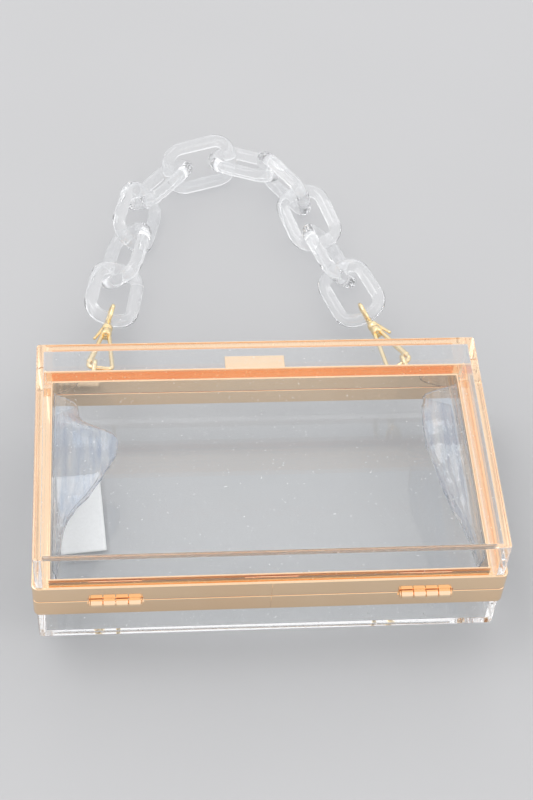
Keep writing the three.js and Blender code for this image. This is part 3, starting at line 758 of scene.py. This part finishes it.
def lug(end):
    middle, along = hook_axis(end)
    end_bar = axis_matrix(middle, along, end["roll"]).col[1].to_3d()
    point = middle - end_bar * end["side"] * LUG_SLIDE
    seat = Vector((end["side"] * LUG_X, CHANNEL_FACE + GAP, LUG_SEAT_Z))
    out = point - seat
    placing = square_matrix(point, out, end_bar)
    tip = LUG_WIRE + HOOK_PLAY
    near = tip - LUG_HOLE_LENGTH - 2 * LUG_WIRE
    width = LUG_HOLE_WIDTH + 2 * LUG_WIRE
    outline = bar_outline(near, tip, width, width / 2 - RING_EASE, LUG_CORNER_STEPS, RING_SPACING)
    rows = shifted(POST_INSET - out.length, POST_HEAD) + shifted(near, POST_FOOT)
    on_seat = Matrix.Translation(seat) @ Matrix.Rotation(math.pi / 2, 4, "Z")
    mesh = mesh_united([
        wire("ring", outline, LUG_WIRE, placing, WIRE_SIDES),
        lathe("post", rows, placing, STEM_SIDES),
        lathe("foot", LUG_DOME, on_seat, COLLAR_SIDES),
    ])
    finish_piece(f"eyelet_{end['name']}", mesh, HOOK_GOLD, "base", f"lug_{end['name']}")


# Strap of clear links

def node_points(name):
    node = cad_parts[name]
    world = np.array(node.matrix_world)
    points = np.array([v.co for v in node.data.vertices], float)
    return points @ world[:3, :3].T + world[:3, 3]


def node_axes(name):
    """Middle and main directions, longest first, of a symmetric node."""
    points = node_points(name)
    centred = points - points.mean(axis=0)
    _, _, rows = np.linalg.svd(centred, full_matrices=False)
    spans = [np.ptp(points @ row) for row in rows]
    order = np.argsort(spans)[::-1]
    axes = [Vector(rows[i]) for i in order]
    mids = [(np.min(points @ rows[i]) + np.max(points @ rows[i])) / 2 for i in order]
    middle = sum((axis * mid for axis, mid in zip(axes, mids)), Vector((0, 0, 0)))
    return middle, axes


def chain_link(name):
    middle, axes = node_axes(name)
    turned = Matrix((axes[0], axes[1], axes[0].cross(axes[1]))).transposed().to_4x4()
    placing = Matrix.Translation(middle / MM) @ turned
    reach = LINK_LENGTH / 2 - LINK_WIRE
    width = LINK_WIDTH - 2 * LINK_WIRE
    outline = bar_outline(-reach, reach, width, LINK_CORNER, LINK_CORNER_STEPS, WIRE_SPACING)
    mesh = wire(name, outline, LINK_WIRE, placing, LINK_SIDES)
    piece_name = name.replace("chain_link", "clear_link")
    finish_piece(piece_name, mesh, LINKS_CLEAR, "base", name, weighted=False)


# Sheets

def sheet_mesh(name, points, across, along):
    """Open mesh of along + 1 rows with across + 1 points each, given in millimetres."""
    width = across + 1
    faces = []
    for j in range(along):
        for i in range(across):
            a = j * width + i
            faces.append((a, a + 1, a + width + 1, a + width))
    mesh = bpy.data.meshes.new(name)
    mesh.from_pydata([p * MM for p in points], [], faces)
    return mesh


def thicken(piece, thickness, offset):
    thick = piece.modifiers.new("thickness", "SOLIDIFY")
    thick.thickness = thickness * MM
    thick.offset = offset


# Film gussets

FILM_PLAY, FOLD_POWER, LOOSE_FROM, CREASE_RISE = 0.4, 1.6, 8.0, 0.7
FILM_X = WIDTH / 2 - WALL - SLOT - INNER_FLANGE - GAP - FILM_PLAY

# Creases by frequency along the box and across it, seed and height, and the streaks that run along the box
CREASES = ((0.09, 2.0, 7.3, 0.9), (0.22, 3.0, 3.1, 0.25))
STREAK_ALONG, RIDGE_ACROSS, RIDGE_SEED, RIDGE_POWER, RIDGE_HEIGHT = 0.03, 13.0, 11.7, 12, 0.8
STREAK_ACROSS, STREAK_SEED, STREAK_HEIGHT = 18.0, 5.9, 0.3


def fold_depth(rows, y):
    """Depth of the fold along the box, on a smooth curve through the table's rows."""
    ys, depths = zip(*rows)
    slopes = np.gradient(depths, ys)
    i = min(max(int(np.searchsorted(ys, y)), 1), len(ys) - 1)
    span = ys[i] - ys[i - 1]
    t = (y - ys[i - 1]) / span
    start = depths[i - 1] * (1 + 2 * t) * (1 - t) ** 2 + slopes[i - 1] * span * t * (1 - t) ** 2
    return start + depths[i] * t * t * (3 - 2 * t) + slopes[i] * span * t * t * (t - 1)


def crease_height(side, s, y):
    """Soft creases that run across the film."""
    return sum(noise.noise((y * along, s * across, side * seed)) * height
               for along, across, seed, height in CREASES)


def streak_height(side, s, y):
    """Sharp ridges and faint streaks that run along the film."""
    ridge = 1 - abs(noise.noise((s * RIDGE_ACROSS, y * STREAK_ALONG, side * RIDGE_SEED)))
    streak = noise.noise((s * STREAK_ACROSS, y * STREAK_ALONG, side * STREAK_SEED))
    return ridge ** RIDGE_POWER * RIDGE_HEIGHT + streak * STREAK_HEIGHT


def film_point(side, rows, s, y):
    """A place on the film: s runs from the base's channel to the lid's, y along the box."""
    fold = math.sin(math.pi * s) ** FOLD_POWER
    depth = fold_depth(rows, y)
    crease = crease_height(side, s, y)
    loose = min(1.0, depth / LOOSE_FROM) * math.sin(math.pi * s)
    x = FILM_X - depth * fold - (crease + streak_height(side, s, y)) * loose
    z = FILM_SEAM_LOW + (FILM_SEAM_HIGH - FILM_SEAM_LOW) * s + crease * CREASE_RISE * loose
    return Vector((side * x, y, z))


def film(side, name):
    rows = FILM_FOLDS[name]
    first, last = rows[0][0], rows[-1][0]
    points = []
    for j in range(FILM_ALONG + 1):
        y = first + (last - first) * j / FILM_ALONG
        for i in range(FILM_ACROSS + 1):
            points.append(film_point(side, rows, i / FILM_ACROSS, y))
    mesh = sheet_mesh(f"film_{name}", points, FILM_ACROSS, FILM_ALONG)
    piece = finish_piece(f"film_{name}", mesh, FILM, None, f"gusset_{name}", weighted=False)
    thicken(piece, FILM_THICKNESS, 0)
    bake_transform(piece)


# Blank slip of paper

SLIP_THICKNESS, SLIP_LIFT = 0.15, 0.1
SIDE_CURL, SIDE_CURL_FROM, END_CURL, END_CURL_FROM = 1.1, -0.1, 1.6, 0.3


def slip_curl(u, v):
    """Lift of the slip over the floor, at a place given from -0.5 to 0.5 across and along it."""
    side_curl = SIDE_CURL * max(0, u - SIDE_CURL_FROM) ** 2
    end_curl = END_CURL * max(0, abs(v) - END_CURL_FROM) ** 2
    return side_curl + end_curl * (0.5 + u)


def slip():
    lifted = Matrix.Translation((*LABEL_PLACE, PLATE + GAP + SLIP_LIFT))
    placing = lifted @ Matrix.Rotation(math.radians(LABEL_TURN), 4, "Z")
    points = []
    for j in range(SLIP_ALONG + 1):
        for i in range(SLIP_ACROSS + 1):
            u, v = i / SLIP_ACROSS - 0.5, j / SLIP_ALONG - 0.5
            points.append(placing @ Vector((u * LABEL_SIZE[0], v * LABEL_SIZE[1], slip_curl(u, v))))
    mesh = sheet_mesh("paper_slip", points, SLIP_ACROSS, SLIP_ALONG)
    piece = finish_piece("paper_slip", mesh, PAPER, "base", "label", weighted=False)
    thicken(piece, SLIP_THICKNESS, 1)


# Stage, lights and camera

def floor():
    mesh = bpy.data.meshes.new("floor")
    far = FLOOR_REACH
    mesh.from_pydata([(-far, -far, 0), (far, -far, 0), (far, far, 0), (-far, far, 0)], [], [(0, 1, 2, 3)])
    mesh.materials.append(FLOOR)
    plane = bpy.data.objects.new("floor", mesh)
    plane.location.z = -FLOOR_DROP
    bpy.context.scene.collection.objects.link(plane)


def soft_box(name, place, size, power):
    light = bpy.data.lights.new(name, "AREA")
    light.shape = "RECTANGLE"
    light.size, light.size_y = size
    light.energy = power
    lamp = bpy.data.objects.new(name, light)
    lamp.location = place
    lamp.rotation_mode = "QUATERNION"
    lamp.rotation_quaternion = (Vector(STAGE_MIDDLE) - Vector(place)).to_track_quat("-Z", "Y")
    bpy.context.scene.collection.objects.link(lamp)


def sky():
    """Pale surroundings that grow a little brighter upwards."""
    world = bpy.data.worlds.new("studio")
    world.use_nodes = True
    nodes, links = world.node_tree.nodes, world.node_tree.links
    place = nodes.new("ShaderNodeTexCoord")
    split = nodes.new("ShaderNodeSeparateXYZ")
    links.new(place.outputs["Generated"], split.inputs["Vector"])
    tone = two_tone(nodes, links, split.outputs["Z"], *SKY_TONES, *SKY_RISE)
    links.new(tone, nodes["Background"].inputs["Color"])
    nodes["Background"].inputs["Strength"].default_value = SKY_STRENGTH
    bpy.context.scene.world = world


def camera():
    heading, elevation, roll = (math.radians(v) for v in (HEADING, ELEVATION, ROLL))
    ahead = Vector((math.sin(heading) * math.cos(elevation), math.cos(heading) * math.cos(elevation),
                    -math.sin(elevation)))
    level = ahead.cross(Vector((0, 0, 1))).normalized()
    right = level * math.cos(roll) + level.cross(ahead) * math.sin(roll)
    up = right.cross(ahead)
    data = bpy.data.cameras.new("camera")
    data.sensor_width = SENSOR
    data.lens = FOCAL_PIXELS / IMAGE_HEIGHT * SENSOR
    eye_point = bpy.data.objects.new("camera", data)
    eye_point.matrix_world = Matrix.Translation(EYE) @ Matrix((right, up, -ahead)).transposed().to_4x4()
    bpy.context.scene.collection.objects.link(eye_point)
    bpy.context.scene.camera = eye_point


def light_paths():
    """Enough bounces for the many clear walls, without caustic noise."""
    cycles = bpy.context.scene.cycles
    cycles.max_bounces = BOUNCES
    cycles.transmission_bounces = BOUNCES
    cycles.glossy_bounces = BOUNCES
    cycles.transparent_max_bounces = OPEN_BOUNCES
    cycles.caustics_reflective = False
    cycles.caustics_refractive = False
    bpy.context.scene.view_settings.view_transform = "Standard"


camera()
for soft_box_row in SOFT_BOXES:
    soft_box(*soft_box_row)
sky()
light_paths()
floor()
for body, over, own in (("base", False, 0), ("lid", True, 1)):
    shell(body, over)
    channel(body, over, own)
for side, side_name in ((-1, "left"), (1, "right")):
    hinge_pin(side, side_name)
    film(side, side_name)
tab()
for end in ENDS:
    hook(end)
    eye(end)
    lug(end)
for number in range(1, LINK_COUNT + 1):
    chain_link(f"chain_link_{number:02d}")
slip()
